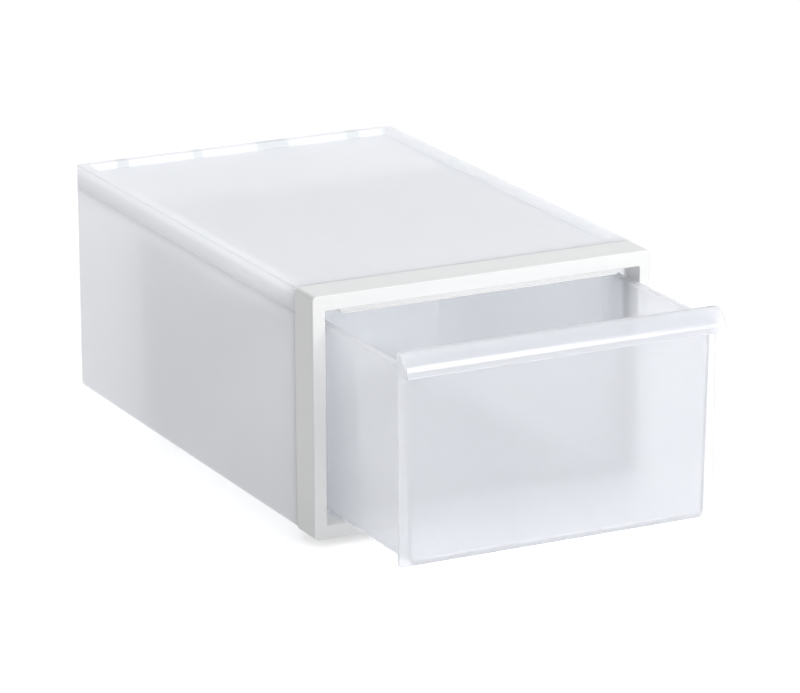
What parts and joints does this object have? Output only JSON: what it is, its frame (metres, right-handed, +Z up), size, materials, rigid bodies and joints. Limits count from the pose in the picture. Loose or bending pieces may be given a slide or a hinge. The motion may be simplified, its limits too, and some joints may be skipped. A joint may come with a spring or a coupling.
{
  "type": "stackable drawer box",
  "caption": "Stackable drawer box: frosted moulded case with a recessed lid, white front frame and a pull-out drawer with a full-width curled grip",
  "frame": {"origin": "centre of the plinth's underside below the middle of the case (the drawer left out), on the surface the box stands on", "axes": "+X to the right seen from the front, +Y to the rear, +Z up; the drawer opens towards -Y"},
  "size_m": [0.26, 0.5272, 0.1773],
  "materials": {
    "frosted_case": "frosted translucent injection-moulded polypropylene, satin",
    "frosted_lid": "frosted translucent injection-moulded polypropylene, satin",
    "white_frame": "opaque white injection-moulded polypropylene, fine satin",
    "clear_drawer": "translucent injection-moulded polypropylene, smooth satin"
  },
  "bodies": {
    "case": {"case_body": "frosted_case", "lid": "frosted_lid", "front_frame": "white_frame"},
    "drawer": {"drawer": "clear_drawer"}
  },
  "joints": [
    {"name": "drawer_slide", "type": "slide", "parent": "case", "child": "drawer", "axis": [0, -1, 0], "range_m": [-0.1072, 0.2818]}
  ]
}
